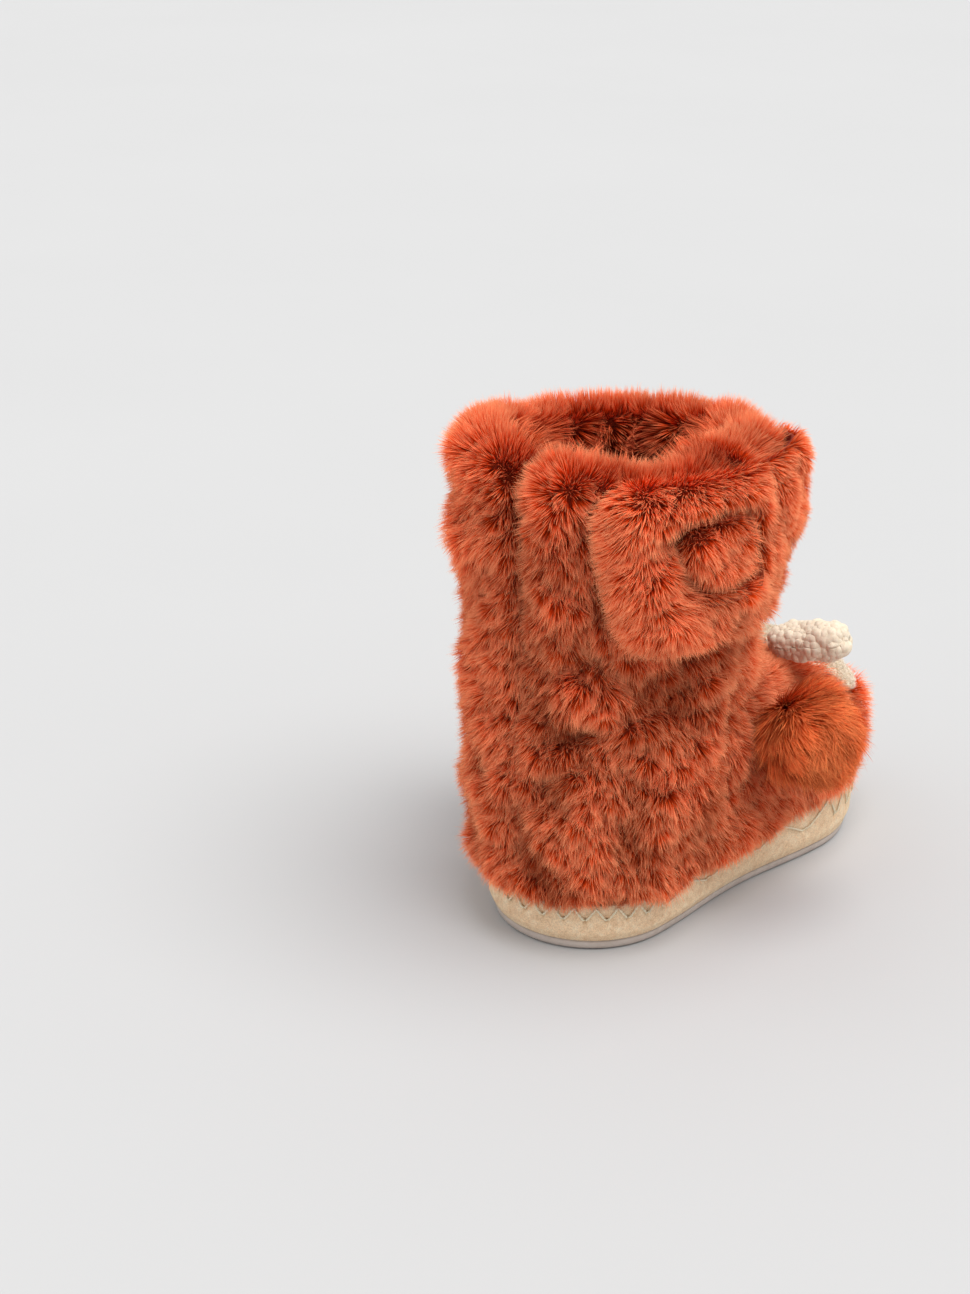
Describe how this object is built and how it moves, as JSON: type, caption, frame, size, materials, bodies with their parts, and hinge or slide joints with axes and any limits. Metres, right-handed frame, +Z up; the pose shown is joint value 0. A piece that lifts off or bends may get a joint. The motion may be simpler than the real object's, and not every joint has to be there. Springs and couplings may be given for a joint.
{
  "type": "baby bootie",
  "caption": "Plush toddler bootie for the right foot: tall padded shaft with a side slit and closure strap, round toe with a fleece patch, small ears and pom-poms, and a stitched suede sole.",
  "frame": {"origin": "on the floor, at the middle of the sole", "axes": "+Z up, -Y towards the toe, +Y towards the heel, -X towards the lateral (outer) side of a right foot"},
  "size_m": [0.1242, 0.1593, 0.1515],
  "materials": {
    "rust_plush": "long-pile faux fur",
    "lining_plush": "long-pile faux fur",
    "long_yarn": "long brushed yarn",
    "cream_fleece": "curly sherpa fleece",
    "tan_suede": "brushed suede",
    "outsole_rubber": "matt",
    "cream_thread": "waxed thread",
    "rust_thread": "sewing thread",
    "foam": "closed-cell foam",
    "insole_fibreboard": "fibreboard",
    "wadding": "polyester wadding",
    "hook_tape": "hook tape",
    "loop_tape": "loop tape"
  },
  "bodies": {
    "boot": {"outsole": "outsole_rubber", "suede_rand": "tan_suede", "midsole_foam": "foam", "insole_board": "insole_fibreboard", "footbed": "lining_plush", "rand_stitching": "cream_thread", "quarter_lateral": "rust_plush", "quarter_medial": "rust_plush", "vamp": "rust_plush", "shaft_front": "rust_plush", "foot_lining": "lining_plush", "shaft_lining": "lining_plush", "shaft_wadding": "wadding", "quarter_loop_patch": "loop_tape", "face_patch": "cream_fleece", "pompom_tie_lateral": "rust_thread", "pompom_tie_medial": "rust_thread"},
    "strap": {"closure_strap": "rust_plush", "strap_hook_patch": "hook_tape", "strap_stitching": "rust_thread"},
    "ear_lateral": {"ear_lateral": "cream_fleece", "ear_stuffing_lateral": "wadding"},
    "ear_medial": {"ear_medial": "cream_fleece", "ear_stuffing_medial": "wadding"},
    "pompom_lateral": {"pompom_lateral": "long_yarn"},
    "pompom_medial": {"pompom_medial": "long_yarn"}
  },
  "joints": [
    {"name": "strap_fold", "type": "hinge", "parent": "boot", "child": "strap", "pos_m": [-0.01534, -0.01186, 0.12596], "axis": [-0.0988, -0.0329, 0.9946], "range_deg": [0, 100]},
    {"name": "ear_lateral_flop", "type": "hinge", "parent": "boot", "child": "ear_lateral", "pos_m": [-0.01616, -0.02778, 0.0679], "axis": [-0.2883, 0.9575, 0], "range_deg": [-6, 25], "stiffness_Nm_per_rad": 0.006},
    {"name": "ear_medial_flop", "type": "hinge", "parent": "boot", "child": "ear_medial", "pos_m": [0.01616, -0.02778, 0.0679], "axis": [-0.2883, -0.9575, 0], "range_deg": [-6, 25], "stiffness_Nm_per_rad": 0.006},
    {"name": "pompom_lateral_swing", "type": "hinge", "parent": "boot", "child": "pompom_lateral", "pos_m": [-0.03581, 0.00417, 0.05334], "axis": [0, 1, 0], "range_deg": [-9, 9], "stiffness_Nm_per_rad": 0.03},
    {"name": "pompom_medial_swing", "type": "hinge", "parent": "boot", "child": "pompom_medial", "pos_m": [0.03581, 0.00417, 0.05334], "axis": [0, -1, 0], "range_deg": [-9, 9], "stiffness_Nm_per_rad": 0.03}
  ]
}
